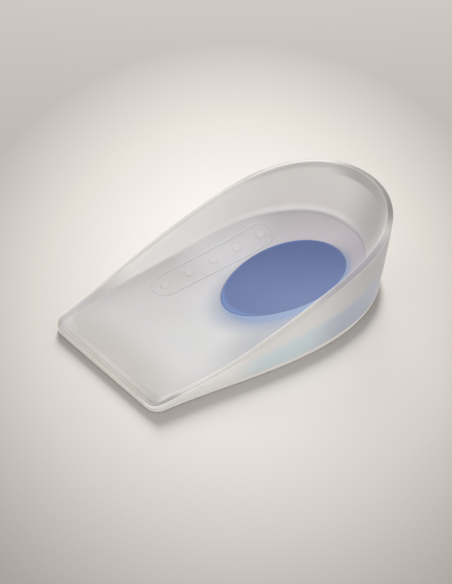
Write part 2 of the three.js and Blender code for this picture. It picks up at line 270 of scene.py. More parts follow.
@dataclass
class CupForm:
    """Sizes and heights of the cup, in millimetres from the toe edge and the ground."""

    sole: Outline = Outline(
        front=0.0, toe=27.2, heel=33.45, turn=57.0, back=105.0, swell=0.6, across=2.19, along=2.19
    )
    rim: Outline = Outline(
        front=0.35, toe=27.55, heel=32.35, turn=56.2, back=108.5, swell=1.85, across=2.0, along=3.25
    )
    seat: Outline = Outline(
        front=3.6, toe=25.0, heel=27.05, turn=59.7, back=99.5, swell=2.2, across=2.23, along=2.23
    )
    egg: Egg = Egg()
    shoulder_height: float = 1.6
    rim_height: float = 29.1
    rim_bevel: float = 0.4
    toe_rim_height: float = 3.4
    toe_edge_height: float = 2.4
    wall_at_toe: float = 1.0
    wall_at_heel: float = 2.15
    wall_swell: float = 0.5
    wall_start_rise: float = 0.4
    wall_full_rise: float = 0.1
    floor_at_toe: float = 2.8
    floor_at_middle: float = 4.1
    seat_at_toe: float = 3.2
    seat_at_heel: float = 11.5
    dish_power: float = 2.2
    edge_round: float = 0.4
    heel_tuck: float = 1.6
    ledge: float = 0.25
    rim_round: float = 0.14
    fillet: float = 1.1
    fillet_pace: float = 8.0
    steps: dict[Part, int] = field(
        default_factory=lambda: {Part.TOE: 8, Part.CORNER: 6, Part.SIDE: 36, Part.HEEL: 48}
    )
    rim_rows: tuple[tuple[float, float, float], ...] = (
        (0.0, 0.0, 0.0),
        (0.2, 0.141, 0.3),
        (0.4, 0.363, 0.6),
        (0.6, 0.595, 0.9),
        (0.8, 0.799, 1.0),
        (0.92, 0.915, 1.0),
        (1.0, 1.0, 1.0),
    )

    def half_stations(self) -> list[Station]:
        """Places the stations of one half.

        Returns:
            The stations from the middle of the toe to the middle of the heel.
        """
        made = [
            Station(part, k / count) for part, count in self.steps.items() for k in range(count)
        ]
        return made + [Station(Part.HEEL, 1.0)]

    def from_rows(self, column: int, along: float) -> float:
        """Value of a column of the rim's rows on a smooth curve through them.

        Args:
            column: 1 for the rise and 2 for the thickening.
            along: share of the rim's length from the toe.

        Returns:
            The column's value there.
        """
        rows = self.rim_rows
        k = 0
        while k < len(rows) - 2 and along > rows[k + 1][0]:
            k += 1

        def slope(i: int) -> float:
            """Slope of the column at a row."""
            a, b = rows[max(i - 1, 0)], rows[min(i + 1, len(rows) - 1)]
            return (b[column] - a[column]) / (b[0] - a[0])

        low, high = rows[k], rows[k + 1]
        span = high[0] - low[0]
        t = clamped((along - low[0]) / span)
        value = low[column] + (high[column] - low[column]) * t * t * (3 - 2 * t)
        value += t * (1 - t) ** 2 * span * slope(k)
        return value + t * t * (t - 1) * span * slope(k + 1)

    def wall_share(self, station: Station) -> float:
        """How far a station has left the toe edge and become side wall.

        Args:
            station: the station.

        Returns:
            0 on the toe edge and 1 on the side wall.
        """
        if station.part is Part.TOE:
            return 0.0
        return math.sin(station.share * math.pi / 2) ** 2 if station.part is Part.CORNER else 1.0

    def along_rim(self, y: float) -> float:
        """Share of the rim's length from the toe."""
        return clamped(y / self.rim.back)

    def wall_thickness(self, y: float) -> float:
        """Thickness of the wall at the rim."""
        share = self.from_rows(2, self.along_rim(y))
        return self.wall_at_toe + (self.wall_at_heel - self.wall_at_toe) * share

    def rim_z(self, station: Station, y: float) -> float:
        """Height of the rim's outer edge.

        Args:
            station: the station on the rim.
            y: its place along the cup, in millimetres.

        Returns:
            The height, in millimetres.
        """
        top = self.rim_height - self.rim_bevel
        wall = self.toe_rim_height
        wall += (top - self.toe_rim_height) * self.from_rows(1, self.along_rim(y))
        return self.toe_edge_height + (wall - self.toe_edge_height) * self.wall_share(station)

    def floor_z(self, x: float, y: float) -> float:
        """Height of the seat's floor, flat along the middle and dished up to its outline.

        Args:
            x: place across the cup, in millimetres.
            y: place along the cup, in millimetres.

        Returns:
            The height, in millimetres.
        """
        seat = self.seat
        along = clamped((y - seat.front) / (seat.turn - seat.front))
        half = max(seat.side_half_width(along), seat.toe) if y < seat.turn else seat.heel
        beyond = max((y - seat.turn) / (seat.back - seat.turn), 0.0)
        level = (abs(x / half) ** seat.across + beyond**seat.across) ** (1 / seat.across)
        middle = self.floor_at_toe + (self.floor_at_middle - self.floor_at_toe) * along
        edge = self.seat_at_toe + (self.seat_at_heel - self.seat_at_toe) * y / seat.back
        return middle + (edge - middle) * min(level, 1.0) ** self.dish_power

    def mirrored(self, half: list[Vector]) -> list[Vector]:
        """A closed line from the points of one half and their mirror images."""
        return half + [Vector((-p.x, p.y, p.z)) for p in reversed(half[1:-1])]

    def outward(self, ring: list[Vector]) -> list[Vector]:
        """Outward directions across a closed line, seen from above.

        Args:
            ring: the line's points.

        Returns:
            A direction for each point.
        """
        ways = []
        for k in range(len(ring)):
            run = ring[(k + 1) % len(ring)] - ring[k - 1]
            ways.append(Vector((run.y, -run.x, 0)).normalized())
        return ways

    def lines(self) -> dict[Line, list[Vector]]:
        """The five lines that the wall's section runs between.

        Returns:
            The points of each closed line.
        """
        stations = self.half_stations()
        sole = self.mirrored([self.sole.point(s) for s in stations])
        shoulder = [Vector((p.x, p.y, self.shoulder_height)) for p in sole]
        rim_half = []
        seat_half = []
        for station in stations:
            p = self.rim.point(station)
            rim_half.append(Vector((p.x, p.y, self.rim_z(station, p.y))))
            q = self.seat.point(station)
            seat_half.append(Vector((q.x, q.y, self.floor_z(q.x, q.y))))
        rim = self.mirrored(rim_half)
        lip = []
        for p, way in zip(rim, self.outward(rim)):
            inner = p - way * self.wall_thickness(p.y)
            inner.z = p.z + self.rim_bevel * p.z / self.rim_height
            lip.append(inner)
        seat = self.mirrored(seat_half)
        return {
            Line.SOLE: sole,
            Line.SHOULDER: shoulder,
            Line.RIM: rim,
            Line.LIP: lip,
            Line.SEAT: seat,
        }

    def rounds_at(self, point: Vector) -> dict[Round, float]:
        """Rounds of the section below one point of the rim.

        Args:
            point: the point of the rim.

        Returns:
            The size of each round, in millimetres.
        """
        length = self.sole.back - self.sole.turn
        back = clamped((point.y - self.sole.turn) / length)
        high = clamped(point.z / self.rim_height)
        return {
            Round.EDGE: self.edge_round + (self.heel_tuck - self.edge_round) * back**2,
            Round.LEDGE: self.ledge * clamped(point.z / self.toe_rim_height - 1.0),
            Round.RIM: self.rim_round * self.wall_thickness(point.y),
            Round.FILLET: self.fillet * clamped(self.fillet_pace * high - 1.0),
        }

    def wall_rings(self) -> list[list[Vector]]:
        """The closed lines of the wall.

        Returns:
            The points of a line for each row of the section.
        """
        lines = self.lines()
        ways = self.outward(lines[Line.SOLE])
        rounds = [self.rounds_at(p) for p in lines[Line.RIM]]
        rings = []
        for row in WALL_ROWS:
            ring = []
            for k, start in enumerate(lines[row.start]):
                point = start.lerp(lines[row.end][k], row.share)
                size = rounds[k][row.rounding]
                high = clamped(lines[Line.RIM][k].z / self.rim_height)
                out = self.wall_swell * row.swell * high - row.inward * size
                point += ways[k] * out
                point.z += row.up * size
                ring.append(point)
            rings.append(ring)
        return rings

    def wall_shares(self) -> list[float]:
        """How full the wall is at each station.

        Returns:
            A share for each station: 0 on the toe edge and 1 where the wall stands high.
        """
        full = self.toe_rim_height + self.wall_full_rise
        low = self.toe_edge_height + self.wall_start_rise
        return [clamped((p.z - low) / (full - low)) for p in self.lines()[Line.RIM]]


class RingMesh:
    """A mesh grown ring by ring: each ring is extruded from the one before and moved in place."""

    def __init__(self, walls: list[float] | None = None) -> None:
        """Starts an empty mesh whose points know their station, place and wall.

        Args:
            walls: share of the full wall at each station, which the finish reads.
        """
        self.walls = walls
        self.bm = bmesh.new()
        self.station = self.bm.verts.layers.int.new("station")
        self.place = self.bm.verts.layers.float.new("place")
        self.wall = self.bm.verts.layers.float.new("wall")

    def mark(self, vert: bmesh.types.BMVert, place: float) -> None:
        """Gives a point its place on the section and its share of the full wall."""
        vert[self.place] = place
        vert[self.wall] = self.walls[vert[self.station]] if self.walls else 1.0

    def start(self, points: list[Vector], place: float) -> list:
        """Adds a closed line to grow from.

        Args:
            points: points of the line, in millimetres.
            place: share of the way over the section that the finish reads.

        Returns:
            The line's edges.
        """
        verts = [self.bm.verts.new(p) for p in points]
        for k, vert in enumerate(verts):
            vert[self.station] = k
            self.mark(vert, place)
        return [self.bm.edges.new((verts[k - 1], verts[k])) for k in range(len(verts))]

    def join(self, first: list, last: list) -> None:
        """Joins two rings of equal length with faces."""
        bmesh.ops.bridge_loops(self.bm, edges=first + last)

    def grow(self, edges: list, points: list[Vector], place: float) -> list:
        """Extrudes a ring of edges to new points.

        Args:
            edges: the ring to grow from.
            points: where the new ring's points go, in millimetres.
            place: share of the way over the section that the finish reads.

        Returns:
            The new ring's edges.
        """
        made = bmesh.ops.extrude_edge_only(self.bm, edges=edges)["geom"]
        verts = {g for g in made if isinstance(g, bmesh.types.BMVert)}
        for vert in verts:
            vert.co = points[vert[self.station]]
            self.mark(vert, place)
        ring = [g for g in made if isinstance(g, bmesh.types.BMEdge)]
        return [edge for edge in ring if edge.verts[0] in verts and edge.verts[1] in verts]

    def close(self, edges: list) -> None:
        """Closes a ring with one face."""
        bmesh.ops.edgeloop_fill(self.bm, edges=edges)

    def finish(self, name: str, back: float, material: bpy.types.Material) -> bpy.types.Object:
        """Turns the mesh into a smooth object in the row frame.

        Args:
            name: the object's name.
            back: the cup's whole length, in millimetres, whose middle is the frame's.
            material: the finish that dresses it.

        Returns:
            The new object.
        """
        bmesh.ops.recalc_face_normals(self.bm, faces=self.bm.faces)
        bmesh.ops.translate(self.bm, verts=self.bm.verts, vec=(0, -back / 2, 0))
        bmesh.ops.scale(self.bm, verts=self.bm.verts, vec=(MM, MM, MM))
        for face in self.bm.faces:
            face.smooth = True
        mesh = bpy.data.meshes.new(name)
        self.bm.to_mesh(mesh)
        self.bm.free()
        mesh.materials.append(material)
        obj = bpy.data.objects.new(name, mesh)
        bpy.context.scene.collection.objects.link(obj)
        smooth = obj.modifiers.new("smooth", "SUBSURF")
        smooth.levels = SMOOTH_LEVELS
        smooth.render_levels = SMOOTH_LEVELS
        return obj


@dataclass
class Shell:
    """The silicone cup: sole, walls, rim, dished seat and the pocket for the plug."""

    form: CupForm
    pocket_gap: float = 0.02
    pocket_bed: float = 0.8
    pocket_lip: float = 0.03
    pocket_drops: tuple[float, ...] = (0.05, 0.4)
    pocket_rises: tuple[float, ...] = (0.3, 0.0)
    floor_rings: int = 30
    floor_pace: float = 0.35
    sole_shares: tuple[float, ...] = (0.97, 0.85, 0.6, 0.3, 0.06)
    bed_shares: tuple[float, ...] = (0.95, 0.6, 0.08)

    def build(self, material: bpy.types.Material) -> bpy.types.Object:
        """Builds the shell as one closed mesh and dresses it.

        Args:
            material: the silicone.

        Returns:
            The shell's object, riding on the root body.
        """
        form = self.form
        rings = form.wall_rings()
        mesh = RingMesh(form.wall_shares())
        sole_edge = mesh.start(rings[0], WALL_ROWS[0].place)
        edges = sole_edge
        for row, ring in zip(WALL_ROWS[1:], rings[1:]):
            edges = mesh.grow(edges, ring, row.place)
        edges = self.grow_floor(mesh, edges, rings[-1])
        self.grow_pocket(mesh, edges, rings[-1])
        self.grow_sole(mesh, sole_edge, rings[0])
        shell = mesh.finish("shell", form.rim.back, material)
        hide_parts("cup_shell")
        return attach(shell, "root")

    def grow_floor(self, mesh: RingMesh, edges: list, seat: list[Vector]) -> list:
        """Grows the seat's floor from the crease to the pocket's mouth.

        Args:
            mesh: the shell's mesh.
            edges: the crease.
            seat: the crease's points.

        Returns:
            The ring at the pocket's mouth.
        """
        form = self.form
        mouth = [
            form.egg.point(form.egg.angle_towards(p), self.pocket_gap + self.pocket_lip)
            for p in seat
        ]
        crease = WALL_ROWS[-1].place
        for k in range(1, self.floor_rings + 1):
            share = k / self.floor_rings
            share *= self.floor_pace + (1 - self.floor_pace) * share
            ring = []
            for start, end in zip(seat, mouth):
                x = start.x + (end.x - start.x) * share
                y = start.y + (end.y - start.y) * share
                ring.append(Vector((x, y, form.floor_z(x, y))))
            edges = mesh.grow(edges, ring, crease + (AT_PLUG - crease) * share)
        return edges

    def grow_pocket(self, mesh: RingMesh, edges: list, seat: list[Vector]) -> None:
        """Grows the pocket down from its mouth and closes its bed.

        Args:
            mesh: the shell's mesh.
            edges: the ring at the pocket's mouth.
            seat: the crease's points, which give each station its direction.
        """
        form = self.form
        egg = form.egg
        angles = [egg.angle_towards(p) for p in seat]
        wall = [egg.point(angle, self.pocket_gap) for angle in angles]
        tops = [form.floor_z(p.x, p.y) for p in wall]
        for drop in self.pocket_drops:
            ring = [Vector((p.x, p.y, z - drop)) for p, z in zip(wall, tops)]
            edges = mesh.grow(edges, ring, AT_PLUG)
        for rise in self.pocket_rises:
            ring = [Vector((p.x, p.y, self.pocket_bed + rise)) for p in wall]
            edges = mesh.grow(edges, ring, AT_PLUG)
        centre = Vector((egg.x, egg.y, self.pocket_bed))
        for share in self.bed_shares:
            ring = [centre.lerp(Vector((p.x, p.y, self.pocket_bed)), share) for p in wall]
            edges = mesh.grow(edges, ring, AT_PLUG)
        mesh.close(edges)

    def grow_sole(self, mesh: RingMesh, edges: list, points: list[Vector]) -> None:
        """Grows the flat underside from its edge to the middle and closes it.

        Args:
            mesh: the shell's mesh.
            edges: the underside's edge.
            points: its points.
        """
        centre = Vector((0, self.form.sole.turn, 0))
        for share in self.sole_shares:
            edges = mesh.grow(edges, [centre.lerp(p, share) for p in points], UNDER_SOLE)
        mesh.close(edges)


@dataclass
class Plug:
    """The softer egg-shaped plug, flush with the seat and slightly crowned."""

    form: CupForm
    stations: int = 96
    foot: float = 0.95
    foot_inset: float = 0.2
    foot_rise: float = 0.3
    foot_shares: tuple[float, ...] = (0.6, 0.08)
    side_drops: tuple[float, ...] = (0.4, 0.1)
    edge: float = 0.04
    crown: float = 0.15
    top_shares: tuple[float, ...] = (0.97, 0.9, 0.8, 0.68, 0.54, 0.4, 0.26, 0.13, 0.04)

    def ring(self, share: float, grow: float, lift: float) -> list[Vector]:
        """A line of the plug's top, scaled towards its middle.

        Args:
            share: scale of the line about the plug's middle.
            grow: how far the outline is grown, in millimetres.
            lift: height above the seat's floor, in millimetres.

        Returns:
            The line's points.
        """
        egg = self.form.egg
        points = []
        for k in range(self.stations):
            p = egg.point(2 * math.pi * k / self.stations, grow)
            x = egg.x + (p.x - egg.x) * share
            y = egg.y + (p.y - egg.y) * share
            points.append(Vector((x, y, self.form.floor_z(x, y) + lift)))
        return points

    def build(self, material: bpy.types.Material) -> bpy.types.Object:
        """Builds the plug as one closed mesh and dresses it.

        Args:
            material: the gel.

        Returns:
            The plug's object, riding on the root body.
        """
        foot = [Vector((p.x, p.y, self.foot)) for p in self.ring(1.0, -self.foot_inset, 0.0)]
        mesh = RingMesh()
        foot_edge = mesh.start(foot, AT_PLUG)
        centre = Vector((self.form.egg.x, self.form.egg.y, self.foot))
        edges = foot_edge
        for share in self.foot_shares:
            edges = mesh.grow(edges, [centre.lerp(p, share) for p in foot], AT_PLUG)
        mesh.close(edges)
        low = self.foot + self.foot_rise
        side = [Vector((p.x, p.y, low)) for p in self.ring(1.0, 0.0, 0.0)]
        edges = mesh.grow(foot_edge, side, AT_PLUG)
        for drop in self.side_drops:
            edges = mesh.grow(edges, self.ring(1.0, 0.0, -drop), AT_PLUG)
        edges = mesh.grow(edges, self.ring(1.0, -self.edge, 0.0), AT_PLUG)
        for share in self.top_shares:
            lift = self.crown * (1 - share * share)
            edges = mesh.grow(edges, self.ring(share, -self.edge, lift), AT_PLUG)
        mesh.close(edges)
        plug = mesh.finish("plug", self.form.rim.back, material)
        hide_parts("heel_plug")
        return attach(plug, "root")


@dataclass
class Marks:
    """The faint raised capsule beside the plug, with plain pips in place of its writing."""

    form: CupForm
    x: float = -18.35
    y: float = 57.8
    width: float = 9.4
    length: float = 49.0
    line: float = 0.8
    relief: float = 0.1
    root: float = 0.25
    side_steps: int = 40
    end_steps: int = 16
    pips: int = 5
    pip_width: float = 3.2
    pip_steps: int = 20
    place: float = 0.9
    line_rows: tuple[tuple[float, float], ...] = ((0.1, 0.3), (0.3, 0.9), (0.7, 0.9), (0.9, 0.3))
    pip_rows: tuple[tuple[float, float], ...] = ((0.97, 0.2), (0.85, 0.85), (0.6, 1), (0.1, 1))

    def capsule(self, inset: float, lift: float) -> list[Vector]:
        """A capsule that lies along the cup on the seat's floor.

        Args:
            inset: how far it lies inside the outer line, in millimetres.
            lift: height above the floor, in millimetres.

        Returns:
            The capsule's points.
        """
        radius = self.width / 2 - inset
        straight = (self.length - self.width) / 2
        points = []
        for sign in (1, -1):
            for k in range(1, self.side_steps):
                along = sign * straight * (2 * k / self.side_steps - 1)
                points.append((self.x + sign * radius, self.y + along))
            for k in range(self.end_steps + 1):
                angle = math.pi * k / self.end_steps
                across = self.x + sign * radius * math.cos(angle)
                points.append((across, self.y + sign * (straight + radius * math.sin(angle))))
        return [Vector((x, y, self.form.floor_z(x, y) + lift)) for x, y in points]

    def circle(self, y: float, radius: float, lift: float) -> list[Vector]:
        """A circle of one pip on the seat's floor.

        Args:
            y: its place along the cup, in millimetres.
            radius: its radius, in millimetres.
            lift: height above the floor, in millimetres.

        Returns:
            The circle's points.
        """
        points = []
        for k in range(self.pip_steps):
            angle = 2 * math.pi * k / self.pip_steps
            spot = (self.x + radius * math.cos(angle), y + radius * math.sin(angle))
            points.append(Vector((*spot, self.form.floor_z(*spot) + lift)))
        return points

    def build(self, material: bpy.types.Material) -> bpy.types.Object:
        """Builds the capsule's line and its pips and dresses them.

        Args:
            material: the raised silicone.

        Returns:
            The relief's object, riding on the root body.
        """
        mesh = RingMesh()
        first = mesh.start(self.capsule(0.0, -self.root), self.place)
        edges = first
        for inset, lift in self.line_rows:
            line = self.capsule(inset * self.line, lift * self.relief)
            edges = mesh.grow(edges, line, self.place)
        edges = mesh.grow(edges, self.capsule(self.line, -self.root), self.place)
        mesh.join(first, edges)
        room = self.length - self.width
        for k in range(self.pips):
            y = self.y + room * (k / (self.pips - 1) - 0.5)
            foot = mesh.start(self.circle(y, self.pip_width / 2, -self.root), self.place)
            mesh.close(foot)
            edges = foot
            for share, lift in self.pip_rows:
                ring = self.circle(y, share * self.pip_width / 2, lift * self.relief)
                edges = mesh.grow(edges, ring, self.place)
            mesh.close(edges)
        marks = mesh.finish("seat_marks", self.form.rim.back, material)
        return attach(marks, "root")


class Nodes:
    """Adds nodes to a node tree and links them by socket name."""

    def __init__(self, tree: bpy.types.NodeTree) -> None:
        """Keeps the tree and clears it."""
        self.tree = tree
        tree.nodes.clear()

    def add(self, kind: str, **settings: object) -> bpy.types.Node:
        """Adds a node and sets its properties.

        Args:
            kind: the node's type name.
            **settings: properties of the node.

        Returns:
            The new node.
        """
        node = self.tree.nodes.new(kind)
        for name, value in settings.items():
            setattr(node, name, value)
        return node

    def link(self, start: bpy.types.NodeSocket, end: bpy.types.NodeSocket) -> None:
        """Links two sockets."""
        self.tree.links.new(start, end)

    def place(self, tree: bpy.types.NodeTree, **values: object) -> bpy.types.Node:
        """Places a node group and sets or links its inputs.

        Args:
            tree: the group.
            **values: a socket or a constant for each input.

        Returns:
            The group's node.
        """
        node = self.add("ShaderNodeGroup", node_tree=tree)
        for name, value in values.items():
            if isinstance(value, bpy.types.NodeSocket):
                self.link(value, node.inputs[name])
            else:
                node.inputs[name].default_value = value
        return node

    def eased(
        self, value: bpy.types.NodeSocket, start: float, end: float, low: float, high: float
    ) -> bpy.types.NodeSocket:
        """Eases a value from low at start to high at end.

        Args:
            value: the socket that gives the value.
            start: where the ease starts.
            end: where it ends.
            low: the result at the start.
            high: the result at the end.

        Returns:
            The result's socket.
        """
        node = self.add("ShaderNodeMapRange", interpolation_type="SMOOTHSTEP")
        self.link(value, node.inputs["Value"])
        node.inputs["From Min"].default_value = start
        node.inputs["From Max"].default_value = end
        node.inputs["To Min"].default_value = low
        node.inputs["To Max"].default_value = high
        return node.outputs["Result"]

    def product(self, a: bpy.types.NodeSocket, b: object) -> bpy.types.NodeSocket:
        """Multiplies two values.

        Args:
            a: the socket of the first.
            b: a socket or a number.

        Returns:
            The product's socket.
        """
        node = self.add("ShaderNodeMath", operation="MULTIPLY")
        self.link(a, node.inputs[0])
        if isinstance(b, bpy.types.NodeSocket):
            self.link(b, node.inputs[1])
        else:
            node.inputs[1].default_value = b
        return node.outputs[0]

    def ramp(self, value: bpy.types.NodeSocket, stops: Stops) -> bpy.types.NodeSocket:
        """Colours a value by stops.

        Args:
            value: the socket that gives the value.
            stops: pairs of a position and a colour.

        Returns:
            The colour's socket.
        """
        node = self.add("ShaderNodeValToRGB")
        row = node.color_ramp.elements
        while len(row) < len(stops):
            row.new(0.5)
        for element, (position, colour) in zip(row, stops):
            element.position = position
            element.color = (*colour, 1)
        self.link(value, node.inputs["Fac"])
        return node.outputs["Color"]

    def mix(self, factor: object, a: object, b: object) -> bpy.types.NodeSocket:
        """Mixes two colours; each argument is a socket or a constant.

        Args:
            factor: share of the second colour.
            a: the first colour.
            b: the second colour.

        Returns:
            The mixed colour's socket.
        """
        node = self.add("ShaderNodeMix", data_type="RGBA")
        for socket, value in zip((node.inputs[0], node.inputs[6], node.inputs[7]), (factor, a, b)):
            if isinstance(value, bpy.types.NodeSocket):
                self.link(value, socket)
            elif isinstance(value, tuple):
                socket.default_value = (*value, 1)
            else:
                socket.default_value = value
        return node.outputs[2]


def new_group(name: str, inputs: dict[str, Socket], output: str) -> bpy.types.NodeTree:
    """Makes an empty node group with its sockets.

    Args:
        name: the group's name.
        inputs: kind of each input, by the input's name.
        output: name of the one output, a number.

    Returns:
        The group.
    """
    tree = bpy.data.node_groups.new(name, "ShaderNodeTree")
    for socket, kind in inputs.items():
        tree.interface.new_socket(socket, in_out="INPUT", socket_type=kind.value)
    tree.interface.new_socket(output, in_out="OUTPUT", socket_type=Socket.NUMBER.value)
    return tree


def spot_mask() -> bpy.types.NodeTree:
    """The group that masks a soft ellipse on the ground, built once.

    Returns:
        The group, with the ellipse's centre, scale and fade as inputs and a Mask output.
    """
    name = "spot mask"
    if name in bpy.data.node_groups:
        return bpy.data.node_groups[name]
    kinds = dict.fromkeys(("Vector", "Centre", "Scale"), Socket.VECTOR)
    kinds |= dict.fromkeys(("Inner", "Outer"), Socket.NUMBER)
    tree = new_group(name, kinds, "Mask")
    nodes = Nodes(tree)
    source = nodes.add("NodeGroupInput")
    target = nodes.add("NodeGroupOutput")
    centred = nodes.add("ShaderNodeVectorMath", operation="SUBTRACT")
    scaled = nodes.add("ShaderNodeVectorMath", operation="MULTIPLY")
    length = nodes.add("ShaderNodeVectorMath", operation="LENGTH")
    nodes.link(source.outputs["Vector"], centred.inputs[0])
    nodes.link(source.outputs["Centre"], centred.inputs[1])
    nodes.link(centred.outputs[0], scaled.inputs[0])
    nodes.link(source.outputs["Scale"], scaled.inputs[1])
    nodes.link(scaled.outputs[0], length.inputs[0])
    ease = nodes.add("ShaderNodeMapRange", interpolation_type="SMOOTHSTEP")
    ease.inputs["To Min"].default_value = 1
    ease.inputs["To Max"].default_value = 0
    nodes.link(length.outputs["Value"], ease.inputs["Value"])
    nodes.link(source.outputs["Inner"], ease.inputs["From Min"])
    nodes.link(source.outputs["Outer"], ease.inputs["From Max"])
    nodes.link(ease.outputs["Result"], target.inputs["Mask"])
    return tree


def grain_height() -> bpy.types.NodeTree:
    """The group that gives the height of a moulded surface's fine grain, built once.

    Returns:
        The group, with the grain's scale and detail as inputs and a Height output.
    """
    name = "grain height"
    if name in bpy.data.node_groups:
        return bpy.data.node_groups[name]
    kinds = {"Vector": Socket.VECTOR, "Scale": Socket.NUMBER, "Detail": Socket.NUMBER}
    tree = new_group(name, kinds, "Height")
    nodes = Nodes(tree)
    source = nodes.add("NodeGroupInput")
    target = nodes.add("NodeGroupOutput")
    noise = nodes.add("ShaderNodeTexNoise")
    for socket in kinds:
        nodes.link(source.outputs[socket], noise.inputs[socket])
    nodes.link(noise.outputs["Fac"], target.inputs["Height"])
    return tree


class Coat:
    """A new material: its nodes, its shader and the object coordinates that it reads."""

    def __init__(self, name: str) -> None:
        """Makes the material and links its shader to its output.

        Args:
            name: the material's name.
        """
        self.material = bpy.data.materials.new(name)
        self.material.use_nodes = True
        self.nodes = Nodes(self.material.node_tree)
        self.output = self.nodes.add("ShaderNodeOutputMaterial")
        self.shader = self.nodes.add("ShaderNodeBsdfPrincipled")
        self.position = self.nodes.add("ShaderNodeTexCoord").outputs["Object"]
        self.nodes.link(self.shader.outputs[0], self.output.inputs[0])


@dataclass(frozen=True)
class Spot:
    """A soft ellipse on the ground, in millimetres of the row frame.

    Its mask is full up to the inner share of the half sizes and gone at the outer share.
    """

    x: float
    y: float
    half_width: float
    half_length: float
    inner: float
    outer: float = 1.0

    def mask(self, coat: Coat) -> bpy.types.NodeSocket:
        """Places the mask in a material.

        Args:
            coat: the material.

        Returns:
            The mask's socket.
        """
        group = coat.nodes.place(
            spot_mask(),
            Vector=coat.position,
            Centre=(self.x * MM, self.y * MM, 0),
            Scale=(1 / (self.half_width * MM), 1 / (self.half_length * MM), 0),
            Inner=self.inner,
            Outer=self.outer,
        )
        return group.outputs["Mask"]


@dataclass(frozen=True)
class Patch:
    """A tint inside a soft ellipse, kept to a zone of the section.

    A patch that lies under fades out above the seat's edge, whatever its strength; the painted glow in
    the lower outer wall lies under.
    """

    name: str
    spot: Spot
    tint: Colour
    zone: Zone
    strength: float = 1.0
    under: bool = False


@dataclass(frozen=True)
class Skin:
    """How a soft moulded surface takes light, apart from its colour."""

    specular: float
    scatter: float
    scatter_radius: Colour
    scatter_depth: float
    grain_scale: float
    grain_detail: float
    grain_strength: float
    grain_depth: float = 0.3 * MM
    ior: float = 1.41

    def dress(self, coat: Coat) -> None:
        """Sets a material's sheen and scatter and adds its fine grain.

        Args:
            coat: the material to set.
        """
        inputs = coat.shader.inputs
        inputs["IOR"].default_value = self.ior
        inputs["Specular IOR Level"].default_value = self.specular
        inputs["Subsurface Weight"].default_value = self.scatter
        inputs["Subsurface Radius"].default_value = self.scatter_radius
        inputs["Subsurface Scale"].default_value = self.scatter_depth
        grain = coat.nodes.place(
            grain_height(), Vector=coat.position, Scale=self.grain_scale, Detail=self.grain_detail
        )
        bump = coat.nodes.add("ShaderNodeBump")
        bump.inputs["Strength"].default_value = self.grain_strength
        bump.inputs["Distance"].default_value = self.grain_depth
        coat.nodes.link(grain.outputs["Height"], bump.inputs["Height"])
        coat.nodes.link(bump.outputs["Normal"], inputs["Normal"])


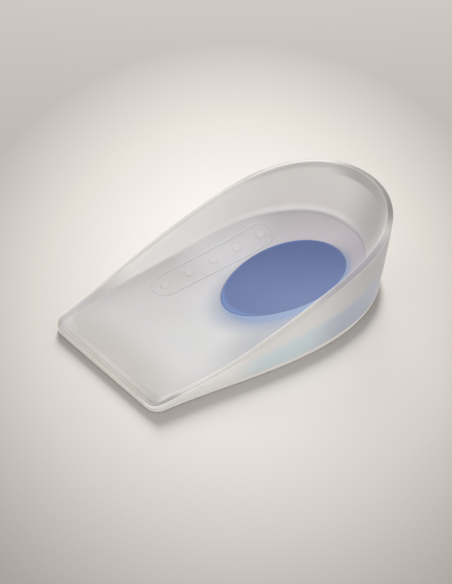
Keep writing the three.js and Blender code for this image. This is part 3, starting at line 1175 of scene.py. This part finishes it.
@dataclass(frozen=True)
class Silicone:
    """Milky silicone, with a painted blue glow round the plug and painted light where light runs
    through its lower wall.

    Bands colour the section by its place, and toe bands do where it is the low toe edge; bands and
    most patches also paint light and shade into the colour.
    """

    name: str = "milky silicone"
    skin: Skin = Skin(
        specular=0.1,
        scatter=1.0,
        scatter_radius=(1.0, 0.95, 0.9),
        scatter_depth=1 * MM,
        grain_scale=900,
        grain_detail=3,
        grain_strength=0.06,
    )
    cloud_scale: float = 70
    cloud_detail: float = 4
    cloud: float = 0.035
    passing: float = 0.93
    solid_below: float = 2.4
    clear_above: float = 3.8
    under_below: float = -0.5
    under_above: float = 3.0
    zone_fade: float = 0.02
    zone_step: float = 0.001
    roughness: Stops = (
        (0.42, (0.5, 0.5, 0.5)),
        (0.46, (0.9, 0.9, 0.9)),
        (0.51, (0.9, 0.9, 0.9)),
        (0.54, (0.5, 0.5, 0.5)),
    )
    # Painted highlight: the light stop just above the crease (0.787) stands in for light on the wall's
    # foot. Painted light: the light band low on the outer wall (0.12 to 0.17) lifts the shade under
    # the bottom edge.
    bands: Stops = (
        (0.0, (0.80, 0.73, 0.69)),
        (0.12, (0.94, 0.90, 0.86)),
        (0.17, (0.92, 0.88, 0.84)),
        (0.195, (0.68, 0.66, 0.65)),
        (0.22, (0.84, 0.84, 0.83)),
        (0.44, (0.80, 0.79, 0.78)),
        (0.472, (0.72, 0.71, 0.70)),
        (0.478, (0.66, 0.645, 0.62)),
        (0.522, (0.66, 0.645, 0.62)),
        (0.53, (0.80, 0.78, 0.76)),
        (0.56, (0.82, 0.80, 0.77)),
        (0.76, (0.82, 0.79, 0.76)),
        (0.787, (0.94, 0.92, 0.90)),
        (0.802, (0.56, 0.55, 0.55)),
        (0.86, (0.60, 0.59, 0.59)),
        (1.0, (0.60, 0.59, 0.59)),
    )
    # Painted light and shade at the toe edge: the rim top (0.475 to 0.5) is darker against its
    # highlight and the taper inside it (0.54 to 0.77) lighter against its shade.
    toe_bands: Stops = (
        (0.0, (0.92, 0.87, 0.83)),
        (0.12, (0.94, 0.90, 0.86)),
        (0.17, (0.80, 0.76, 0.72)),
        (0.44, (0.72, 0.68, 0.65)),
        (0.475, (0.54, 0.51, 0.48)),
        (0.5, (0.50, 0.475, 0.45)),
        (0.54, (0.60, 0.575, 0.545)),
        (0.77, (0.61, 0.585, 0.555)),
        (0.802, (0.56, 0.55, 0.55)),
        (0.86, (0.60, 0.59, 0.59)),
        (1.0, (0.60, 0.59, 0.59)),
    )
    patches: tuple[Patch, ...] = (
        Patch("grey by the toe", Spot(0, -62, 44, 30, 0.4), (0.51, 0.485, 0.455), Zone.FLOOR),
        # Painted light: lighter middle of the seat's floor.
        Patch("painted light mid seat", Spot(8, -20, 20, 24, 0.2), (0.59, 0.59, 0.59), Zone.SEAT),
        # Painted light: lighter floor along the far side, where the wall behind shades it.
        Patch("painted light far side of seat", Spot(-24, 14, 16, 26, 0.3), (0.73, 0.72, 0.73), Zone.SEAT, 0.8),
        # Painted shade: darker, bluish grey floor on the near side, where the key lights it most.
        Patch("near floor", Spot(26, -6, 16, 30, 0.2), (0.4, 0.41, 0.43), Zone.SEAT),
        # Painted glow: lilac tint round the plug, standing in for its light through the silicone.
        Patch("painted lilac glow round the plug", Spot(0, 14, 25, 36, 0.5), (0.66, 0.65, 0.69), Zone.SEAT, 0.5),
        Patch("heel lilac", Spot(5, 39, 30, 24, 0.5, 1.1), (0.62, 0.58, 0.61), Zone.SEAT, 0.9),
        Patch("heel near floor", Spot(18, 40, 20, 18, 0.2), (0.47, 0.43, 0.47), Zone.SEAT, 0.9),
        # Painted glow: blue rings round the plug, standing in for its light through the silicone.
        Patch("painted plug glow, wide", Spot(7.6, 11.6, 16, 22.6, 0.8, 1.35), (0.27, 0.31, 0.42), Zone.SEAT, 0.9),
        Patch("painted plug glow, close", Spot(6.2, 14.4, 16, 22.6, 0.95, 1.1), (0.2, 0.3, 0.5), Zone.SEAT, 0.6),
        # Painted shade: the outer wall darker towards the heel.
        Patch("painted shade towards the heel, outside", Spot(40, 47, 60, 52, 0.3), (0.57, 0.56, 0.58), Zone.OUTER_WALL),
        # Painted glow: cyan and blue light through the lower outer wall, kept below the seat's edge.
        Patch("painted cyan glow, lower outside", Spot(34, -4, 20, 32, 0.2), (0.69, 0.78, 0.81), Zone.LOWER_WALL, under=True),
        Patch("painted blue glow, lower outside", Spot(33, 25, 24, 28, 0.2), (0.52, 0.55, 0.64), Zone.LOWER_WALL, under=True),
        # Painted light: the outer wall lighter towards the toe.
        Patch("painted light towards the toe, outside", Spot(32, -46, 16, 30, 0.3), (0.96, 0.93, 0.91), Zone.OUTER_WALL),
        # Painted shade: the outside of the far side darker, where the key lights it most.
        Patch("painted shade, far outside", Spot(-36, 14, 40, 90, 0.5), (0.52, 0.51, 0.5), Zone.OUTSIDE),
        # Painted glow: the far inner wall lighter, standing in for light through it from behind.
        Patch("painted glow, far inside", Spot(-36, -6, 22, 50, 0.3), (0.92, 0.9, 0.88), Zone.INNER_WALL),
        # Painted shade: the near inner wall darker, where the key lights it most.
        Patch("painted shade, near inside", Spot(28, -34, 12, 34, 0.3), (0.52, 0.51, 0.5), Zone.INSIDE),
        Patch("far corner", Spot(-27, -48, 12, 28, 0.3), (0.66, 0.64, 0.64), Zone.INSIDE),
        Patch("near corner", Spot(27, -52, 7, 10, 0.3), (0.42, 0.41, 0.4), Zone.WHOLE_RIM),
        # Painted shade: the inner face of the heel darker.
        Patch("painted shade, heel inside", Spot(22, 50, 30, 28, 0.2), (0.53, 0.51, 0.5), Zone.INNER_FACE),
        # Painted shade: the rim's outer edge darker on the far side and at the back, against the key's
        # highlight.
        Patch("painted shade, rim edge far side", Spot(-30, 0, 26, 64, 0.4), (0.6, 0.58, 0.56), Zone.RIM_EDGE),
        Patch("painted shade, rim shoulder at back", Spot(-20, 44, 26, 30, 0.5), (0.24, 0.23, 0.22), Zone.RIM_SHOULDER),
        Patch("back lip", Spot(-20, 46, 26, 26, 0.5), (0.68, 0.66, 0.64), Zone.LIP),
        Patch("near rim", Spot(34, 26, 14, 28, 0.3), (0.46, 0.44, 0.48), Zone.RIM_TOP),
        # Painted shade: the rim and the inside just below the lip darker round the heel.
        Patch("painted shade on the heel's rim", Spot(9, 55.5, 27, 21, 0.5), (0.29, 0.28, 0.27), Zone.RIM_HALF),
        Patch("painted shade below the heel's lip", Spot(12, 55, 28, 22, 0.5), (0.54, 0.53, 0.51), Zone.BELOW_LIP),
    )

    def within(self, coat: Coat, place: bpy.types.NodeSocket, zone: Zone) -> bpy.types.NodeSocket:
        """Mask of a zone of the section.

        Args:
            coat: the material.
            place: the socket that gives the place on the section.
            zone: the zone.

        Returns:
            The mask's socket.
        """
        low, high = zone.value
        nodes = coat.nodes
        rise = nodes.eased(place, low - self.zone_fade, low + self.zone_step, 0, 1)
        fall = nodes.eased(place, high, high + self.zone_fade, 1, 0)
        return nodes.product(rise, fall)

    def below_seat(self, coat: Coat) -> bpy.types.NodeSocket:
        """Mask of what lies lower than the seat's edge, which rises evenly towards the heel; it keeps
        the painted glow to the lower outer wall.

        Args:
            coat: the material.

        Returns:
            The mask's socket.
        """
        form = CupForm()
        slope = (form.seat_at_heel - form.seat_at_toe) / form.seat.back
        level = form.seat_at_toe + slope * form.rim.back / 2
        height = coat.nodes.add("ShaderNodeVectorMath", operation="DOT_PRODUCT")
        height.inputs[1].default_value = (0, -slope, 1)
        coat.nodes.link(coat.position, height.inputs[0])
        start = (level + self.under_below) * MM
        end = (level + self.under_above) * MM
        return coat.nodes.eased(height.outputs["Value"], start, end, 1, 0)

    def clouded(self, coat: Coat, colour: bpy.types.NodeSocket) -> bpy.types.NodeSocket:
        """Varies a colour slightly, as the milkiness of the silicone does.

        Args:
            coat: the material.
            colour: the colour's socket.

        Returns:
            The varied colour's socket.
        """
        nodes = coat.nodes
        noise = nodes.add("ShaderNodeTexNoise")
        noise.inputs["Scale"].default_value = self.cloud_scale
        noise.inputs["Detail"].default_value = self.cloud_detail
        spread = nodes.add("ShaderNodeMapRange")
        spread.inputs["To Min"].default_value = 1 - self.cloud
        spread.inputs["To Max"].default_value = 1 + self.cloud
        scale = nodes.add("ShaderNodeVectorMath", operation="SCALE")
        nodes.link(coat.position, noise.inputs["Vector"])
        nodes.link(noise.outputs["Fac"], spread.inputs["Value"])
        nodes.link(colour, scale.inputs[0])
        nodes.link(spread.outputs["Result"], scale.inputs["Scale"])
        return scale.outputs[0]

    def let_light_through(self, coat: Coat) -> None:
        """Lets a lamp's light run straight through: most of it above the thick sole.

        Args:
            coat: the material.
        """
        nodes = coat.nodes
        split = nodes.add("ShaderNodeSeparateXYZ")
        nodes.link(coat.position, split.inputs[0])
        start = self.solid_below * MM
        end = self.clear_above * MM
        share = nodes.eased(split.outputs["Z"], start, end, 0, self.passing)
        clear = nodes.add("ShaderNodeBsdfTransparent")
        nodes.link(share, clear.inputs["Color"])
        path = nodes.add("ShaderNodeLightPath")
        through = nodes.add("ShaderNodeMixShader")
        nodes.link(path.outputs["Is Shadow Ray"], through.inputs[0])
        nodes.link(coat.shader.outputs[0], through.inputs[1])
        nodes.link(clear.outputs[0], through.inputs[2])
        nodes.link(through.outputs[0], coat.output.inputs[0])

    def tinted(self, coat: Coat, place: bpy.types.NodeSocket) -> bpy.types.NodeSocket:
        """Colours the section by its bands and then by the patches, one over the other, with the
        painted light and shade among them.

        Args:
            coat: the material.
            place: the socket that gives the place on the section.

        Returns:
            The colour's socket.
        """
        nodes = coat.nodes
        wall = nodes.add("ShaderNodeAttribute", attribute_name="wall").outputs["Fac"]
        colour = nodes.mix(wall, nodes.ramp(place, self.toe_bands), nodes.ramp(place, self.bands))
        below = self.below_seat(coat)
        for patch in self.patches:
            spot = patch.spot.mask(coat)
            spot.node.label = patch.name
            share = nodes.product(spot, self.within(coat, place, patch.zone))
            share = nodes.product(share, below if patch.under else patch.strength)
            colour = nodes.mix(share, colour, patch.tint)
        return colour

    def make(self) -> bpy.types.Material:
        """Builds the material.

        Returns:
            The silicone's material.
        """
        coat = Coat(self.name)
        self.let_light_through(coat)
        place = coat.nodes.add("ShaderNodeAttribute", attribute_name="place").outputs["Fac"]
        colour = self.clouded(coat, self.tinted(coat, place))
        coat.nodes.link(colour, coat.shader.inputs["Base Color"])
        satin = coat.nodes.ramp(place, self.roughness)
        coat.nodes.link(satin, coat.shader.inputs["Roughness"])
        self.skin.dress(coat)
        return coat.material


@dataclass(frozen=True)
class Gel:
    """Soft blue silicone gel, with a painted glow that lightens it towards its edge on the toe side.
    """

    body: Colour = (0.104, 0.149, 0.325)
    # Painted glow: the lighter blue at the edge stands in for light through the gel's edge.
    edge: Colour = (0.13, 0.20, 0.43)
    heart: Spot = Spot(3.4, 16.4, 16.6, 22.6, 0.93)
    roughness: float = 0.6
    skin: Skin = Skin(
        specular=0.25,
        scatter=0.3,
        scatter_radius=(0.6, 0.7, 1.0),
        scatter_depth=3 * MM,
        grain_scale=700,
        grain_detail=2,
        grain_strength=0.08,
    )

    def make(self) -> bpy.types.Material:
        """Builds the material.

        Returns:
            The gel's material.
        """
        coat = Coat("blue gel")
        colour = coat.nodes.mix(self.heart.mask(coat), self.edge, self.body)
        coat.nodes.link(colour, coat.shader.inputs["Base Color"])
        coat.shader.inputs["Roughness"].default_value = self.roughness
        self.skin.dress(coat)
        return coat.material


@dataclass(frozen=True)
class Lamp:
    """A square soft lamp that faces the cup, with its place and size in metres."""

    name: str
    place: tuple[float, float, float]
    size: float
    power: float
    lit: Lit = Lit.ALL


@dataclass(frozen=True)
class Studio:
    """The pale floor, the soft lights and the camera.

    The floor's tones are a painted pool of light: they run outwards over the reach from the pool, its
    brightest point.
    """

    # Painted pool of light: the floor darkens outwards from the pool.
    tones: Stops = (
        (0.0, (0.565, 0.544, 0.53)),
        (0.38, (0.497, 0.473, 0.45)),
        (0.66, (0.397, 0.374, 0.347)),
        (1.0, (0.237, 0.22, 0.203)),
    )
    reach: float = 0.1
    pool: tuple[float, float] = (0.0, 0.0)
    floor_half: float = 1.5
    floor_roughness: float = 0.9
    air: Colour = (1, 0.99, 0.98)
    air_strength: float = 0.81
    lamps: tuple[Lamp, ...] = (
        Lamp("key", (-0.68, 0.53, 0.39), 0.34, 6.6),
        Lamp("floor key", (-1.25, 0.98, 0.62), 0.54, 44.0, Lit.FLOOR),
        Lamp("cup fill", (0.62, -0.48, 0.2), 0.5, 0.6, Lit.CUP),
    )
    azimuth: float = 51.9
    elevation: float = 37.5
    distance: float = 0.7
    target: tuple[float, float, float] = (-0.00007, -0.00541, 0.008)
    lens: float = 134.93
    sensor: float = 36
    clip_start: float = 0.01

    def floor(self) -> bpy.types.Object:
        """Builds the floor and its radial tone, a painted pool of light.

        Returns:
            The floor's object, part of the stage.
        """
        bm = bmesh.new()
        bmesh.ops.create_grid(bm, x_segments=1, y_segments=1, size=self.floor_half)
        mesh = bpy.data.meshes.new("floor")
        bm.to_mesh(mesh)
        bm.free()
        floor = bpy.data.objects.new("floor", mesh)
        bpy.context.scene.collection.objects.link(floor)
        coat = Coat("pale sweep")
        nodes = coat.nodes
        centre = nodes.add("ShaderNodeVectorMath", operation="SUBTRACT")
        centre.inputs[1].default_value = (*self.pool, 0)
        turned = nodes.add("ShaderNodeVectorRotate", rotation_type="Z_AXIS")
        turned.inputs["Angle"].default_value = -math.radians(self.azimuth)
        scale = nodes.add("ShaderNodeVectorMath", operation="MULTIPLY")
        along = math.sin(math.radians(self.elevation))
        scale.inputs[1].default_value = (1 / self.reach, along / self.reach, 0)
        length = nodes.add("ShaderNodeVectorMath", operation="LENGTH")
        nodes.link(coat.position, centre.inputs[0])
        nodes.link(centre.outputs[0], turned.inputs["Vector"])
        nodes.link(turned.outputs[0], scale.inputs[0])
        nodes.link(scale.outputs[0], length.inputs[0])
        colour = nodes.ramp(length.outputs["Value"], self.tones)
        nodes.link(colour, coat.shader.inputs["Base Color"])
        coat.shader.inputs["Roughness"].default_value = self.floor_roughness
        mesh.materials.append(coat.material)
        return floor

    def lights(self, floor: bpy.types.Object, cup: list[bpy.types.Object]) -> None:
        """Places the soft lamps and the pale surroundings.

        Args:
            floor: the floor, which has a lamp of its own for a deeper contact shadow.
            cup: the cup's objects, which have a weak fill of their own on the near side.
        """
        world = bpy.data.worlds.new("studio")
        world.use_nodes = True
        background = world.node_tree.nodes["Background"]
        background.inputs["Color"].default_value = (*self.air, 1)
        background.inputs["Strength"].default_value = self.air_strength
        bpy.context.scene.world = world
        receivers = {Lit.FLOOR: [floor], Lit.CUP: cup}
        for lamp in self.lamps:
            data = bpy.data.lights.new(lamp.name, "AREA")
            data.size = lamp.size
            data.energy = lamp.power
            obj = bpy.data.objects.new(lamp.name, data)
            obj.location = lamp.place
            obj.rotation_euler = (-Vector(lamp.place)).to_track_quat("-Z", "Y").to_euler()
            bpy.context.scene.collection.objects.link(obj)
            if lamp.lit in receivers:
                only = bpy.data.collections.new(f"lit by {lamp.name}")
                for receiver in receivers[lamp.lit]:
                    only.objects.link(receiver)
                obj.light_linking.receiver_collection = only

    def camera(self) -> None:
        """Places the camera at the photograph's angle."""
        azimuth = math.radians(self.azimuth)
        elevation = math.radians(self.elevation)
        flat = math.cos(elevation)
        back = Vector(
            (math.sin(azimuth) * flat, -math.cos(azimuth) * flat, math.sin(elevation))
        )
        data = bpy.data.cameras.new("camera")
        data.lens = self.lens
        data.sensor_width = self.sensor
        data.clip_start = self.clip_start
        camera = bpy.data.objects.new("camera", data)
        camera.location = Vector(self.target) + back * self.distance
        camera.rotation_euler = back.to_track_quat("Z", "Y").to_euler()
        bpy.context.scene.collection.objects.link(camera)
        bpy.context.scene.camera = camera


def main() -> None:
    """Builds the pieces, dresses them and sets the stage."""
    logging.basicConfig(level=logging.INFO, format="%(message)s")
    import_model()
    form = CupForm()
    silicone = Silicone().make()
    dull = replace(Silicone.skin, scatter=0.0)
    raised = Silicone(name="raised silicone", skin=dull).make()
    gel = Gel().make()
    cup = []
    for piece, material in ((Shell(form), silicone), (Plug(form), gel), (Marks(form), raised)):
        obj = piece.build(material)
        cup.append(obj)
        LOG.info("%s: %d faces", obj.name, len(obj.data.polygons))
    bpy.context.scene.view_settings.view_transform = "Standard"
    studio = Studio()
    studio.lights(studio.floor(), cup)
    studio.camera()


if __name__ == "__main__":
    main()
